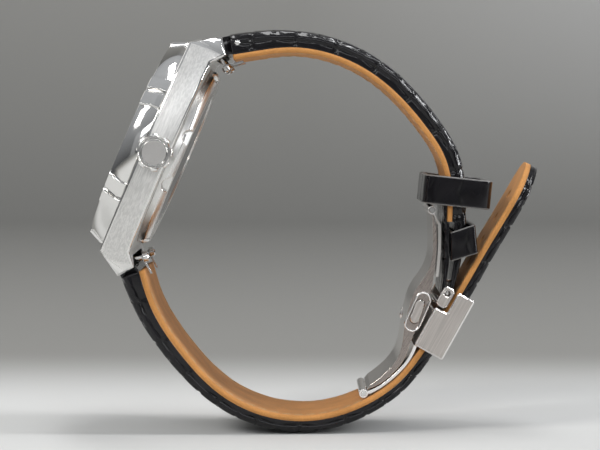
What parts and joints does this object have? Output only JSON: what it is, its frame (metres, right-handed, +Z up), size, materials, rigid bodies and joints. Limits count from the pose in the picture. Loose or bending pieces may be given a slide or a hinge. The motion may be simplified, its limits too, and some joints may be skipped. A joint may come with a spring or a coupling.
{
  "type": "wristwatch",
  "caption": "Round watch in a cushion-sided steel case with a castellated crown, on a croc-embossed black leather strap with tan lining and a folding clasp, closed as worn.",
  "frame": {"origin": "centre of the wrist loop, on the line through the middle of the dial", "axes": "+Y across the wrist, away from the crown; +Z up when the watch stands on its strap's lower side; the dial faces -X and leans back by 23.5 degrees"},
  "size_m": [0.0854, 0.045, 0.0759],
  "materials": {
    "case_steel": "brushed",
    "polished_steel": "polished",
    "clasp_steel": "satin",
    "movement_metal": "satin",
    "brass": "polished",
    "crystal": "clear",
    "dial": "satin",
    "gasket": "matte",
    "strap_leather": "gloss",
    "lining_leather": "matte"
  },
  "bodies": {
    "watch": {"mid_case": "case_steel", "bezel": "polished_steel", "crystal": "crystal", "crystal_gasket": "gasket", "dial_ring": "dial", "dial": "dial", "hour_markers": "polished_steel", "movement": "movement_metal", "movement_ring": "movement_metal", "rotor_bearing": "movement_metal", "case_back_ring": "polished_steel", "case_back_crystal": "crystal", "case_back_crystal_gasket": "gasket", "case_back_gasket": "gasket", "crown_tube": "case_steel", "spring_bar_tube_12": "case_steel", "spring_bar_tube_6": "case_steel", "upper_strap": "strap_leather", "upper_strap_lining": "lining_leather", "lower_strap": "strap_leather", "lower_strap_lining": "lining_leather", "strap_cross_pin": "case_steel", "small_keeper": "strap_leather", "buckle_box": "clasp_steel", "strap_stud": "clasp_steel", "ear_bracket": "clasp_steel", "clasp_spring_bar": "case_steel", "lower_wing": "clasp_steel", "lower_hinge_pin": "case_steel"},
    "crown_seal": {"crown_gasket": "gasket"},
    "crown": {"crown": "polished_steel", "crown_stem": "case_steel"},
    "minute_hand": {"minute_hand": "polished_steel"},
    "hour_hand": {"hour_hand": "polished_steel"},
    "seconds_hand": {"seconds_hand": "polished_steel"},
    "balance_wheel": {"balance_wheel": "brass"},
    "rotor": {"rotor": "movement_metal"},
    "lever_12_crown_side": {"release_lever_12_crown_side": "polished_steel"},
    "lever_12_far_side": {"release_lever_12_far_side": "polished_steel"},
    "lever_6_crown_side": {"release_lever_6_crown_side": "polished_steel"},
    "lever_6_far_side": {"release_lever_6_far_side": "polished_steel"},
    "large_keeper": {"large_keeper": "strap_leather"},
    "clasp_base": {"clasp_base": "clasp_steel", "upper_hinge_pin": "case_steel"},
    "upper_wing": {"upper_wing": "clasp_steel"},
    "button_crown_side": {"clasp_button_crown_side": "clasp_steel"},
    "button_far_side": {"clasp_button_far_side": "clasp_steel"}
  },
  "joints": [
    {"name": "crown_pull", "type": "slide", "parent": "watch", "child": "crown_seal", "axis": [0, -1, 0], "range_m": [0, 0.0012]},
    {"name": "crown_turn", "type": "hinge", "parent": "crown_seal", "child": "crown", "pos_m": [-0.02735, -0.022, 0.01189], "axis": [0, -1, 0], "continuous": true},
    {"name": "minute_hand_turn", "type": "hinge", "parent": "watch", "child": "minute_hand", "pos_m": [-0.03049, 0, 0.01326], "axis": [0.9171, 0, -0.3987], "continuous": true},
    {"name": "hour_hand_turn", "type": "hinge", "parent": "watch", "child": "hour_hand", "pos_m": [-0.03003, 0, 0.01306], "axis": [0.9171, 0, -0.3987], "continuous": true},
    {"name": "seconds_hand_turn", "type": "hinge", "parent": "watch", "child": "seconds_hand", "pos_m": [-0.03095, 0, 0.01346], "axis": [0.9171, 0, -0.3987], "continuous": true},
    {"name": "balance_swing", "type": "hinge", "parent": "watch", "child": "balance_wheel", "pos_m": [-0.02375, 0.0062, 0.01622], "axis": [0.9171, 0, -0.3987], "range_deg": [-150, 150], "stiffness_Nm_per_rad": 0.000001},
    {"name": "rotor_turn", "type": "hinge", "parent": "watch", "child": "rotor", "pos_m": [-0.02499, 0, 0.01087], "axis": [0.9171, 0, -0.3987], "continuous": true},
    {"name": "lever_12_crown_side_slide", "type": "slide", "parent": "watch", "child": "lever_12_crown_side", "axis": [0, 1, 0], "range_m": [0, 0.0011], "stiffness_N_per_m": 400, "springref_m": -0.001},
    {"name": "lever_12_far_side_slide", "type": "slide", "parent": "watch", "child": "lever_12_far_side", "axis": [0, -1, 0], "range_m": [0, 0.0011], "stiffness_N_per_m": 400, "springref_m": -0.001},
    {"name": "lever_6_crown_side_slide", "type": "slide", "parent": "watch", "child": "lever_6_crown_side", "axis": [0, 1, 0], "range_m": [0, 0.0011], "stiffness_N_per_m": 400, "springref_m": -0.001},
    {"name": "lever_6_far_side_slide", "type": "slide", "parent": "watch", "child": "lever_6_far_side", "axis": [0, -1, 0], "range_m": [0, 0.0011], "stiffness_N_per_m": 400, "springref_m": -0.001},
    {"name": "keeper_slide", "type": "slide", "parent": "watch", "child": "large_keeper", "axis": [-0.12, 0, 0.9928], "range_m": [0, 0.003]},
    {"name": "clasp_base_swing", "type": "hinge", "parent": "watch", "child": "clasp_base", "pos_m": [0.01093, 0, -0.0337], "axis": [0, -1, 0], "range_deg": [0, 70]},
    {"name": "upper_wing_swing", "type": "hinge", "parent": "clasp_base", "child": "upper_wing", "pos_m": [0.02376, 0, 0.00084], "axis": [0, -1, 0], "range_deg": [0, 70]},
    {"name": "button_crown_side_push", "type": "slide", "parent": "clasp_base", "child": "button_crown_side", "axis": [0, 1, 0], "range_m": [0, 0.00045], "stiffness_N_per_m": 400, "springref_m": -0.001},
    {"name": "button_far_side_push", "type": "slide", "parent": "clasp_base", "child": "button_far_side", "axis": [0, -1, 0], "range_m": [0, 0.00045], "stiffness_N_per_m": 400, "springref_m": -0.001}
  ],
  "couplings": [
    {"joint": "hour_hand_turn", "follows": "minute_hand_turn", "ratio": 0.083333},
    {"joint": "seconds_hand_turn", "follows": "minute_hand_turn", "ratio": 60},
    {"joint": "upper_wing_swing", "follows": "clasp_base_swing", "ratio": 1}
  ]
}
